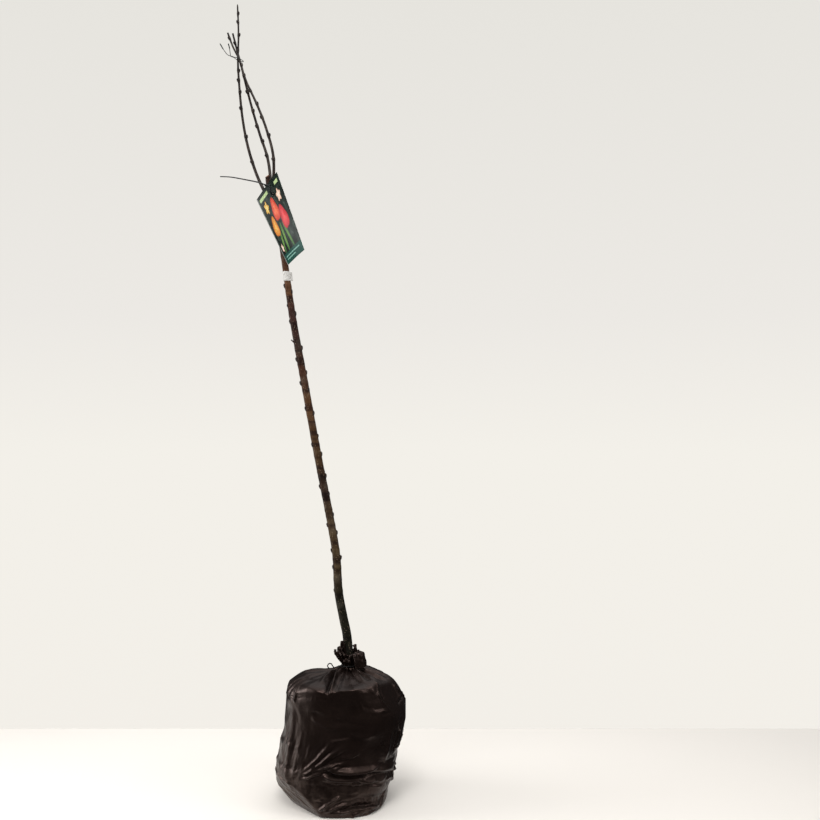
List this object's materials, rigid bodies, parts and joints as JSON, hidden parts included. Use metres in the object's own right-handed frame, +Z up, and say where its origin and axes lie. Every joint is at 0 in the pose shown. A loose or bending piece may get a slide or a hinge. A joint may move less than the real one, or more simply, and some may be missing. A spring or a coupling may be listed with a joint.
{
  "type": "sapling with root ball",
  "caption": "Leafless young fruit tree with a slim leaning trunk, whips tied together at the top, a hanging card and a film-wrapped root ball",
  "frame": {"origin": "middle of the root ball's flat underside, on the floor", "axes": "+Z up, the tree leans towards -X, and the face of the hanging card looks towards -X and -Y"},
  "size_m": [0.4482, 0.2602, 1.9161],
  "materials": {
    "film": "crinkled thin film, satin gloss",
    "cord": "thin twine",
    "bark": "smooth olive-brown bark",
    "young_bark": "smooth reddish-brown bark",
    "tape": "matt white tape",
    "card": "glossy printed card",
    "strap": "satin moulded strap",
    "wire": "plastic-coated wire"
  },
  "bodies": {
    "root": {"root_ball": "film", "bag_neck": "film", "neck_cord": "cord", "trunk": "bark", "bough_left": "young_bark", "bough_middle": "young_bark", "bough_right": "young_bark", "trunk_tape": "tape", "label_card": "card", "label_strap": "strap", "crown_tie": "wire"}
  },
  "joints": []
}
